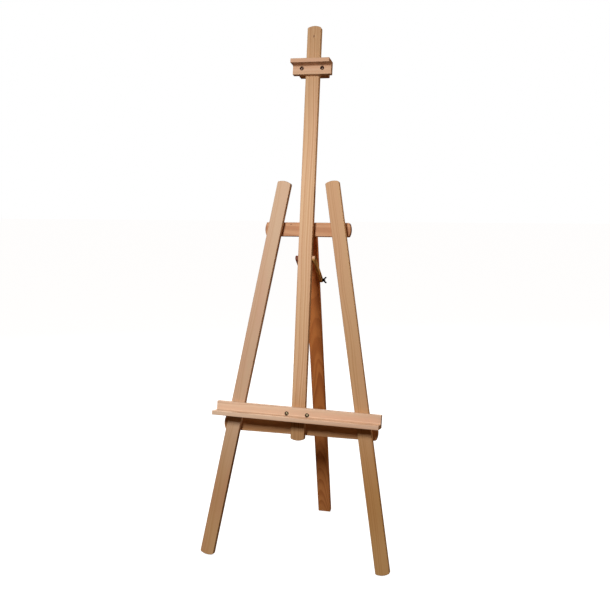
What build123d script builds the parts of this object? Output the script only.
"""Wooden artist easel: an A-frame of flat strips with a mast, a hinged rear leg held by a
slotted stay, a sliding canvas tray and a sliding canvas holder.

The A-frame lies in one leaning plane, FACE. Its local axes are u (across), v (up the frame)
and n (out of the front): n = 0 is the front of the legs and the mast. World +Z is up, the
front looks along -Y, and the origin is on the floor, in the middle of the footprint.
"""

from build123d import *
import os
from math import asin, atan2, copysign, cos, degrees, hypot, radians, sin, sqrt

os.makedirs("parts", exist_ok=True)

# ---------------------------------------------------------------- driving dimensions (mm, deg)
HEIGHT = 1750.0  # floor to the front top of the mast
LEAN = 10.0  # how far the A-frame leans back
FOOT_SPREAD = 454.0  # front line of the front feet to the toe of the rear leg

STRIP_W = 46.0  # every strip is the same planed section
STRIP_T = 20.0
EASE = 1.5  # rounding of a strip's long edges
CORNER = 5.0  # rounding of the corners where a bowed end meets the sides
BOW = 50.0  # radius of a bowed strip end

LEG_FOOT_U = 298.9  # middle of a front leg at the floor
LEG_TOP_U = 80.3  # middle of a front leg at its top
LEG_TOP_V = 1262.1

MAST_FOOT_V = 407.6
UPPER_BAR_V = 1104.0  # middle of each crossbar
UPPER_BAR_LENGTH = 293.1
LOWER_BAR_V = 447.3
LOWER_BAR_LENGTH = 523.9

HINGE_V = 1109.6  # axis of the rear leg's butt hinge
HINGE_OFFSET = 3.4  # axis to each wooden face
HINGE_BARREL = 3.0  # radius
HINGE_WIDTH = 40.0
HINGE_LEAF = 25.0  # from the axis to a leaf's free edge
LEAF_T = 1.5
HINGE_PIN = 1.4  # radius
LEG_ABOVE_HINGE = 5.0

PIVOT_V = 1007.2  # where the stay arms turn on the mast
PIVOT_N = -12.0
PIVOT_PIN = 3.0  # radius
PIVOT_PIN_EDGE = 0.6  # chamfer
STAY_DROP = 183.7  # hinge axis to the stay bolt, down the rear leg
ARM_T = 10.0
ARM_H = 17.0
ARM_LEAD = 0.7  # degrees: an open easel's stay bolt sits this far off the slot's middle line
ARM_SPARE = 2.0  # the arms and their slots run this far past the bolt
SLOT_HALF = 4.4  # half the width of the arms' slots
SIDE_GAP = 0.4  # stay arms to the mast and to the rear leg

BOLT_R = 2.5  # M5 throughout
BOLT_TIP = 0.5  # chamfer on a bolt's free end
BOLT_PROUD = 1.5  # how far a bolt comes through its wing nut
HEAD_R = 5.6
HEAD_H = 3.2
HEAD_RIM = 1.1  # straight edge below the dome
HEAD_DOME = (3.4, 2.7)  # a point of the dome: from the axis, above the seat
HEAD_SLOT_W = 1.5
HEAD_SLOT_DEPTH = 1.8
WASHER_R = 7.0
WASHER_T = 1.0
NUT_R = 5.2  # wing nut hub at its seat
NUT_TOP_R = 4.2
NUT_FLANGE = 1.6
NUT_H = 7.0
WING_T = 3.4
WING_EASE = 0.9
WING_ROOT = (3.2, 3.6, 2.4)  # from the bolt's axis, above the seat, and its radius
WING_TIP = (8.6, 10.4, 2.7)
BOLT_SPACING = 69.0  # the two bolts that pass the mast
SLIDE_GAP = 0.3  # sliding parts to the mast
RUN_GAP = 0.3  # wing nut to its washer
THREAD_GAP = 0.05

TRAY_LENGTH = 553.0
TRAY_DEPTH = 64.0  # from the mast's face to the front of the lip
TRAY_HEIGHT = 42.5
HOLDER_LENGTH = 129.5
HOLDER_DEPTH = 55.0
HOLDER_HEIGHT = 42.6
BOARD_T = 20.0  # the moulding's upright web
LIP_T = 13.5
COVE = 5.0
SPOT_R = 6.9  # counterbore round a bolt head
SPOT_DEPTH = 4.2
TRAY_BOLT_RISE = 7.2  # bolt axis to the moulding's lip
HOLDER_BOLT_DROP = 9.2

TRAY_U = 0.8
TRAY_V = 495.7  # height of the tray's bolts
TRAY_TILT = 1.1  # both clamps sit a little out of level, right end low
HOLDER_U = 3.0
HOLDER_V = 1629.6
HOLDER_TILT = 0.7

BLOCK_LENGTH = 100.0  # clamp block behind the mast
BLOCK_H = 33.0

SCREW_R = 2.0
SCREW_HEAD_R = 4.0
RECESS_LENGTH = 4.2  # cross recess in a screw head
RECESS_W = 0.9
RECESS_DEPTH = 1.3
BAR_SCREW = 33.0
SCREW_RISE = 11.0  # crossbar screws above and below the bar's middle
SCREW_SHIFT = 9.0
HINGE_SCREW = 13.5

# ---------------------------------------------------------------- derived geometry
lean = radians(LEAN)
BAR_BACK_N = -2 * STRIP_T
HINGE_N = BAR_BACK_N - HINGE_OFFSET

hinge_y = HINGE_V * sin(lean) - HINGE_N * cos(lean)
hinge_z = HINGE_V * cos(lean) + HINGE_N * sin(lean)
toe_reach = hypot(FOOT_SPREAD - hinge_y, hinge_z)
rear_lean = atan2(FOOT_SPREAD - hinge_y, hinge_z) - asin(HINGE_OFFSET / toe_reach)
OPEN_ANGLE = LEAN + degrees(rear_lean)
toe_loss = EASE * (cos(rear_lean) + sin(rear_lean) - 1)  # what rounding takes off the toe
LEG_DROP = sqrt(toe_reach**2 - HINGE_OFFSET**2) + toe_loss / cos(rear_lean)
heel_loss = EASE * (cos(lean) + sin(lean) - 1)  # and off the back edge of the front feet
FLOOR_V = (STRIP_T * sin(lean) - heel_loss) / cos(lean)

front_y = FLOOR_V * sin(lean) + heel_loss
back_y = FOOT_SPREAD + STRIP_T * cos(rear_lean) - toe_loss * (1 - sin(rear_lean))
FOOTPRINT_MIDDLE = (front_y + back_y) / 2
MAST_TOP_V = HEIGHT / cos(lean)
BOLT_US = (-BOLT_SPACING / 2, BOLT_SPACING / 2)

FACE = Plane(origin=(0, -FOOTPRINT_MIDDLE, 0), x_dir=(1, 0, 0), z_dir=(0, -cos(lean), sin(lean)))


def sub_plane(base, at=(0, 0, 0), turn=(0, 0, 0)):
    """A plane placed and turned in the local axes of another one."""
    return Plane(base.location * Location(at, turn))


REAR = sub_plane(FACE, (0, HINGE_V, HINGE_N), (OPEN_ANGLE, 0, 0))
TRAY = sub_plane(FACE, (TRAY_U, TRAY_V, 0), (0, 0, -TRAY_TILT))
HOLDER = sub_plane(FACE, (HOLDER_U, HOLDER_V, 0), (0, 0, -HOLDER_TILT))


def stay_bolt_at(opening):
    """The stay bolt in FACE's v and n when the rear leg is open by this many degrees."""
    angle = radians(opening)
    depth = HINGE_OFFSET + STRIP_T / 2
    v = HINGE_V - STAY_DROP * cos(angle) + depth * sin(angle)
    n = HINGE_N - STAY_DROP * sin(angle) - depth * cos(angle)
    return v, n


def pivot_to_bolt(opening):
    """Length and slope of the line from the stay's pivot to its bolt."""
    v, n = stay_bolt_at(opening)
    return hypot(PIVOT_V - v, PIVOT_N - n), degrees(atan2(PIVOT_N - n, PIVOT_V - v))


stay_open, arm_slope = pivot_to_bolt(OPEN_ANGLE)
stay_closed, arm_slope_closed = pivot_to_bolt(0)
ARM = sub_plane(FACE, (0, PIVOT_V, PIVOT_N), (arm_slope + ARM_LEAD, 0, 0))


def finish(piece, name):
    """Label a finished piece and write it."""
    piece.part.label = name
    export_step(piece.part, f"parts/{name}.step")


# ---------------------------------------------------------------- strips of the A-frame
def bowed_strip(length):
    """Outline of a strip along local Y, centred, with bowed ends and softened corners."""
    half = STRIP_W / 2
    end = length / 2
    side_end = end - BOW + sqrt(BOW**2 - half**2)
    with BuildLine() as sides_and_ends:
        Line((-half, -side_end), (-half, side_end))
        ThreePointArc((-half, side_end), (0, end), (half, side_end))
        Line((half, side_end), (half, -side_end))
        ThreePointArc((half, -side_end), (0, -end), (-half, -side_end))
    outline = make_face(sides_and_ends.edges())
    fillet(outline.vertices(), radius=CORNER)


def bar_screw_spots(bar_v):
    """Where the screws of one crossbar go: two in each leg and two in the mast."""
    leg_u = LEG_FOOT_U + (LEG_TOP_U - LEG_FOOT_U) * bar_v / LEG_TOP_V
    spots = [(0, bar_v + SCREW_RISE), (0, bar_v - SCREW_RISE)]
    for u in (-leg_u, leg_u):
        spots.append((u - SCREW_SHIFT, bar_v + SCREW_RISE))
        spots.append((u + SCREW_SHIFT, bar_v - SCREW_RISE))
    return spots


def from_behind(spots):
    """Planes on the back of the crossbars, facing away from the frame."""
    return [sub_plane(FACE, (u, v, BAR_BACK_N), (0, 180, 0)) for u, v in spots]


UPPER_SPOTS = from_behind(bar_screw_spots(UPPER_BAR_V))
LOWER_SPOTS = from_behind(bar_screw_spots(LOWER_BAR_V))


def front_leg(side, name):
    """One front leg; its bowed foot just reaches the floor. side is -1 or +1."""
    slope = atan2(LEG_FOOT_U - LEG_TOP_U, LEG_TOP_V - FLOOR_V)
    apex_v = FLOOR_V + BOW * (1 - cos(slope))
    middle = (side * (LEG_FOOT_U + LEG_TOP_U) / 2, (apex_v + LEG_TOP_V) / 2, 0)
    length = hypot(LEG_FOOT_U - LEG_TOP_U, LEG_TOP_V - apex_v)
    with BuildPart() as leg:
        with BuildSketch(sub_plane(FACE, middle, (0, 0, side * degrees(slope)))):
            bowed_strip(length)
        extrude(amount=-STRIP_T)
        fillet(leg.edges(), radius=EASE)
        with Locations(*UPPER_SPOTS, *LOWER_SPOTS):
            Hole(radius=SCREW_R, depth=BAR_SCREW)
    finish(leg, name)


front_leg(-1, "left_leg")
front_leg(+1, "right_leg")

with BuildPart() as mast:
    with BuildSketch(sub_plane(FACE, (0, (MAST_FOOT_V + MAST_TOP_V) / 2, 0))):
        bowed_strip(MAST_TOP_V - MAST_FOOT_V)
    extrude(amount=-STRIP_T)
    fillet(mast.edges(), radius=EASE)
    with Locations(*UPPER_SPOTS, *LOWER_SPOTS):
        Hole(radius=SCREW_R, depth=BAR_SCREW)
    with Locations(sub_plane(FACE, (STRIP_W / 2, PIVOT_V, PIVOT_N), (0, 90, 0))):
        Hole(radius=PIVOT_PIN, depth=STRIP_W)
finish(mast, "mast")


def crossbar(bar_v, length, screw_spots, hinge_holes, name):
    """A crossbar behind the legs and the mast, screwed on from its back."""
    with BuildPart() as bar:
        with BuildSketch(sub_plane(FACE, (0, bar_v, -STRIP_T), (0, 0, 90))):
            bowed_strip(length)
        extrude(amount=-STRIP_T)
        fillet(bar.edges(), radius=EASE)
        with Locations(*screw_spots):
            CounterSinkHole(radius=SCREW_R, counter_sink_radius=SCREW_HEAD_R, depth=BAR_SCREW,
                            counter_sink_angle=90)
        if hinge_holes:
            with Locations(*hinge_holes):
                Hole(radius=SCREW_R, depth=HINGE_SCREW + LEAF_T)
    finish(bar, name)


# ---------------------------------------------------------------- butt hinge of the rear leg
HINGE_SCREW_U = 13.5
HINGE_HEAD_R = SCREW_R + LEAF_T
HINGE_SCREW_DROP = 15.0
LEAF_NOTCH = HINGE_BARREL + 0.8
KNUCKLE = 7.0  # half the length of the leg leaf's knuckle
KNUCKLE_GAP = 0.2

HINGE_AXIS = sub_plane(FACE, (0, HINGE_V, HINGE_N))
bar_leaf_spots = [sub_plane(HINGE_AXIS, (u, -HINGE_SCREW_DROP, HINGE_OFFSET - LEAF_T), (0, 180, 0))
                  for u in (-HINGE_SCREW_U, HINGE_SCREW_U)]
leg_leaf_spots = [sub_plane(REAR, (u, -HINGE_SCREW_DROP, LEAF_T - HINGE_OFFSET))
                  for u in (-HINGE_SCREW_U, HINGE_SCREW_U)]

crossbar(UPPER_BAR_V, UPPER_BAR_LENGTH, UPPER_SPOTS, bar_leaf_spots, "upper_crossbar")
crossbar(LOWER_BAR_V, LOWER_BAR_LENGTH, LOWER_SPOTS, None, "lower_crossbar")


def hinge_leaf(base, face_side, knuckles, notches, screw_spots, name):
    """A hinge leaf: a plate on one side of the axis, with its knuckles round the pin.

    base has its origin on the hinge axis; face_side is +1 where the plate lies in front of
    the axis. knuckles and notches are (middle, length) pairs along the axis.
    """
    plate_n = face_side * (HINGE_OFFSET - LEAF_T / 2)
    with BuildPart() as leaf:
        with BuildSketch(sub_plane(base, (0, -HINGE_LEAF / 2, plate_n))):
            Rectangle(HINGE_WIDTH, HINGE_LEAF)
        extrude(amount=LEAF_T / 2, both=True)
        for middle, length in notches:
            with Locations(sub_plane(base, (middle, -LEAF_NOTCH / 2, plate_n))):
                Box(length, LEAF_NOTCH, 2 * LEAF_T, mode=Mode.SUBTRACT)
        for middle, length in knuckles:
            with Locations(sub_plane(base, (middle, 0, 0), (0, 90, 0))):
                Cylinder(radius=HINGE_BARREL, height=length)
        with Locations(sub_plane(base, (HINGE_WIDTH / 2, 0, 0), (0, 90, 0))):
            Hole(radius=HINGE_PIN + (0 if face_side > 0 else THREAD_GAP), depth=HINGE_WIDTH)
        with Locations(*screw_spots):
            CounterSinkHole(radius=SCREW_R, counter_sink_radius=HINGE_HEAD_R, depth=HINGE_SCREW,
                            counter_sink_angle=90)
    finish(leaf, name)


outer_length = HINGE_WIDTH / 2 - KNUCKLE - KNUCKLE_GAP
outer_middle = HINGE_WIDTH / 2 - outer_length / 2
outer_notch = HINGE_WIDTH / 2 - KNUCKLE
hinge_leaf(HINGE_AXIS, +1, [(-outer_middle, outer_length), (outer_middle, outer_length)],
           [(0, 2 * (KNUCKLE + KNUCKLE_GAP))], bar_leaf_spots, "hinge_bar_leaf")
hinge_leaf(REAR, -1, [(0, 2 * KNUCKLE)],
           [(-outer_notch / 2 - KNUCKLE, outer_notch), (outer_notch / 2 + KNUCKLE, outer_notch)],
           leg_leaf_spots, "hinge_leg_leaf")

with BuildPart() as hinge_pin:
    with Locations(sub_plane(HINGE_AXIS, (0, 0, 0), (0, 90, 0))):
        Cylinder(radius=HINGE_PIN, height=HINGE_WIDTH)
finish(hinge_pin, "hinge_pin")


def screws(spots, head_r, length, name):
    """Countersunk screws with a cross recess, one at each spot, heads flush."""
    top = (Align.CENTER, Align.CENTER, Align.MAX)
    with BuildPart() as group:
        with Locations(*spots):
            Cone(bottom_radius=SCREW_R, top_radius=head_r, height=head_r - SCREW_R, align=top)
            Cylinder(radius=SCREW_R, height=length, align=top)
            Box(RECESS_LENGTH, RECESS_W, RECESS_DEPTH, align=top, mode=Mode.SUBTRACT)
            Box(RECESS_W, RECESS_LENGTH, RECESS_DEPTH, align=top, mode=Mode.SUBTRACT)
    finish(group, name)


screws(UPPER_SPOTS, SCREW_HEAD_R, BAR_SCREW, "upper_crossbar_screws")
screws(LOWER_SPOTS, SCREW_HEAD_R, BAR_SCREW, "lower_crossbar_screws")
screws(bar_leaf_spots, HINGE_HEAD_R, HINGE_SCREW, "hinge_bar_screws")
screws(leg_leaf_spots, HINGE_HEAD_R, HINGE_SCREW, "hinge_leg_screws")

# ---------------------------------------------------------------- rear leg
STAY_AXIS = sub_plane(REAR, (0, -STAY_DROP, -HINGE_OFFSET - STRIP_T / 2), (0, 90, 0))

with BuildPart() as rear_leg:
    with BuildSketch(sub_plane(REAR, (0, (LEG_ABOVE_HINGE - LEG_DROP) / 2, -HINGE_OFFSET))):
        Rectangle(STRIP_W, LEG_DROP + LEG_ABOVE_HINGE)
    extrude(amount=-STRIP_T)
    fillet(rear_leg.edges(), radius=EASE)
    with Locations(*leg_leaf_spots):
        Hole(radius=SCREW_R, depth=HINGE_SCREW + LEAF_T)
    with Locations(sub_plane(STAY_AXIS, (0, 0, STRIP_W / 2))):
        Hole(radius=BOLT_R, depth=STRIP_W)
finish(rear_leg, "rear_leg")


# ---------------------------------------------------------------- slotted stay
def stay_arm(side, name):
    """One of the two arms that straddle the mast and the rear leg. side is -1 or +1."""
    slot_travel = stay_open - stay_closed + ARM_SPARE
    arm_length = stay_open + ARM_SPARE
    inner = STRIP_W / 2 + SIDE_GAP
    outline_plane = sub_plane(ARM, (side * (inner + ARM_T / 2), 0, 0), (0, 90, 0))
    with BuildPart() as arm:
        with BuildSketch(outline_plane):
            with Locations((0, -arm_length / 2)):
                SlotCenterToCenter(arm_length, ARM_H, rotation=90)
        extrude(amount=ARM_T / 2, both=True)
        fillet(arm.edges(), radius=EASE)
        with BuildSketch(outline_plane):
            Circle(PIVOT_PIN + THREAD_GAP)
            with Locations((0, -(stay_open + stay_closed) / 2)):
                SlotCenterToCenter(slot_travel, 2 * SLOT_HALF, rotation=90)
        extrude(amount=ARM_T, both=True, mode=Mode.SUBTRACT)
    finish(arm, name)


stay_arm(-1, "left_stay_arm")
stay_arm(+1, "right_stay_arm")

ARM_OUTER = STRIP_W / 2 + SIDE_GAP + ARM_T
with BuildPart() as stay_pivot_pin:
    with Locations(sub_plane(FACE, (0, PIVOT_V, PIVOT_N), (0, 90, 0))):
        Cylinder(radius=PIVOT_PIN, height=2 * ARM_OUTER)
    chamfer(stay_pivot_pin.edges(), length=PIVOT_PIN_EDGE)
finish(stay_pivot_pin, "stay_pivot_pin")


# ---------------------------------------------------------------- bolts, washers, wing nuts
def machine_bolt(head_seat, grip, slot_turn, name):
    """A round-headed slotted bolt; head_seat's z points out of the head, grip is its shank."""
    section = sub_plane(head_seat, (0, 0, 0), (90, 0, 0))
    neck = BOLT_R - BOLT_TIP
    with BuildPart() as bolt:
        with BuildSketch(section):
            with BuildLine():
                Polyline((0, HEAD_H), (0, -grip), (neck, -grip), (BOLT_R, BOLT_TIP - grip),
                         (BOLT_R, 0), (HEAD_R, 0), (HEAD_R, HEAD_RIM))
                ThreePointArc((HEAD_R, HEAD_RIM), HEAD_DOME, (0, HEAD_H))
            make_face()
        revolve(axis=Axis(head_seat.origin, head_seat.z_dir))
        with Locations(sub_plane(head_seat, (0, 0, HEAD_H), (0, 0, slot_turn))):
            Box(2 * HEAD_R, HEAD_SLOT_W, 2 * HEAD_SLOT_DEPTH, mode=Mode.SUBTRACT)
    finish(bolt, name)


def washers(seats, name):
    """Flat washers on their seats; each seat's z points away from the wood."""
    with BuildPart() as group:
        with Locations(*[sub_plane(seat, (0, 0, WASHER_T / 2)) for seat in seats]):
            Cylinder(radius=WASHER_R, height=WASHER_T)
            Hole(radius=BOLT_R)
    finish(group, name)


def wing_nut(seat, turn, name):
    """A small wing nut; seat's z points along the bolt, away from the wood."""
    base = sub_plane(seat, (0, 0, 0), (0, 0, turn))
    section = sub_plane(base, (0, 0, 0), (90, 0, 0))
    with BuildPart() as nut:
        with BuildSketch(section):
            for out, up, radius in (WING_ROOT, WING_TIP):
                with Locations((out, up)):
                    Circle(radius)
            make_hull()
            mirror(about=Plane.YZ)
        extrude(amount=WING_T / 2, both=True)
        fillet(nut.edges(), radius=WING_EASE)
        with BuildSketch(section):
            with BuildLine():
                Polyline((0, 0), (NUT_R, 0), (NUT_R, NUT_FLANGE), (NUT_TOP_R, NUT_H), (0, NUT_H), (0, 0))
            make_face()
        revolve(axis=Axis(base.origin, base.z_dir))
        with Locations(sub_plane(base, (0, 0, WING_TIP[1]))):
            Hole(radius=BOLT_R + THREAD_GAP, depth=WING_TIP[1])
    finish(nut, name)


STAY_SLOT_TURN = 30  # degrees, how each head's slot and each wing nut happen to stand
STAY_WING_TURN = 80
CLAMP_WING_TURN = 90
TRAY_SLOT_TURNS = (-50, -35)  # left bolt, right bolt
HOLDER_SLOT_TURNS = (40, 55)
STAY_STACK = ARM_OUTER + RUN_GAP + WASHER_T  # from the middle to the far side of a stay washer
machine_bolt(sub_plane(STAY_AXIS, (0, 0, -STAY_STACK), (180, 0, 0)),
             2 * STAY_STACK + RUN_GAP + NUT_H + BOLT_PROUD, STAY_SLOT_TURN, "stay_bolt")
washers([sub_plane(STAY_AXIS, (0, 0, ARM_OUTER + RUN_GAP)),
         sub_plane(STAY_AXIS, (0, 0, -ARM_OUTER - RUN_GAP), (180, 0, 0))], "stay_washers")
wing_nut(sub_plane(STAY_AXIS, (0, 0, STAY_STACK + RUN_GAP)), STAY_WING_TURN, "stay_wing_nut")


# ---------------------------------------------------------------- tray and holder clamps
def moulding(base, length, depth, height, lip, name):
    """The L-shaped moulding of the tray (lip below the bolts, negative) or the holder (above)."""
    lip_side = copysign(1, lip)
    lip_far = lip + lip_side * LIP_T
    web_far = lip_far - lip_side * height
    back = SLIDE_GAP
    front = BOARD_T
    profile = sub_plane(base, (0, 0, 0), (0, -90, 0))
    with BuildPart() as shelf:
        with BuildSketch(profile) as section:
            with BuildLine():
                Polyline((back, lip_far), (depth, lip_far), (depth, lip), (front, lip),
                         (front, web_far), (back, web_far), (back, lip_far))
            make_face()
            fillet(section.vertices().sort_by_distance((front, lip, 0))[1:], radius=EASE)
            fillet(section.vertices().sort_by_distance((front, lip, 0))[0], radius=COVE)
        extrude(amount=length / 2, both=True)
        with Locations(*[sub_plane(base, (u, 0, front)) for u in BOLT_US]):
            CounterBoreHole(radius=BOLT_R, counter_bore_radius=SPOT_R, counter_bore_depth=SPOT_DEPTH,
                            depth=BOARD_T)
    finish(shelf, name)


def clamp_block(base, shift, name):
    """The flat block behind the mast that the clamp bolts pull forward."""
    middle = sub_plane(base, (shift, 0, -STRIP_T - SLIDE_GAP))
    with BuildPart() as block:
        with BuildSketch(middle):
            RectangleRounded(BLOCK_LENGTH, BLOCK_H, 2 * EASE)
        extrude(amount=-STRIP_T)
        fillet(block.faces().sort_by(Axis(base.origin, base.z_dir))[0].edges(), radius=EASE)
        with Locations(*[sub_plane(base, (u, 0, -STRIP_T - SLIDE_GAP)) for u in BOLT_US]):
            Hole(radius=BOLT_R, depth=STRIP_T)
    finish(block, name)


def clamp(base, block_shift, slot_turns, prefix):
    """Everything behind and through one clamp: block, bolts, washers and wing nuts."""
    washer_n = -2 * STRIP_T - SLIDE_GAP
    nut_n = washer_n - WASHER_T - RUN_GAP
    head_n = BOARD_T - SPOT_DEPTH
    clamp_block(base, block_shift, f"{prefix}_back_block")
    seats = []
    for u, hand, slot_turn in zip(BOLT_US, ("left", "right"), slot_turns):
        machine_bolt(sub_plane(base, (u, 0, head_n)), head_n - nut_n + NUT_H + BOLT_PROUD, slot_turn,
                     f"{prefix}_{hand}_bolt")
        wing_nut(sub_plane(base, (u, 0, nut_n), (0, 180, 0)), CLAMP_WING_TURN,
                 f"{prefix}_{hand}_wing_nut")
        seats.append(sub_plane(base, (u, 0, washer_n), (0, 180, 0)))
    washers(seats, f"{prefix}_washers")


moulding(TRAY, TRAY_LENGTH, TRAY_DEPTH, TRAY_HEIGHT, -TRAY_BOLT_RISE, "tray")
clamp(TRAY, 0, TRAY_SLOT_TURNS, "tray")
moulding(HOLDER, HOLDER_LENGTH, HOLDER_DEPTH, HOLDER_HEIGHT, HOLDER_BOLT_DROP, "holder")
clamp(HOLDER, -HOLDER_U, HOLDER_SLOT_TURNS, "holder")

print("rear leg opens", round(OPEN_ANGLE, 3), "degrees")
print("stay arms swing", round(arm_slope - arm_slope_closed, 3), "degrees")
print("hinge axis", HINGE_AXIS.origin)
print("stay pivot", ARM.origin, "stay bolt", STAY_AXIS.origin)
print("tray", TRAY.origin, "holder", HOLDER.origin)
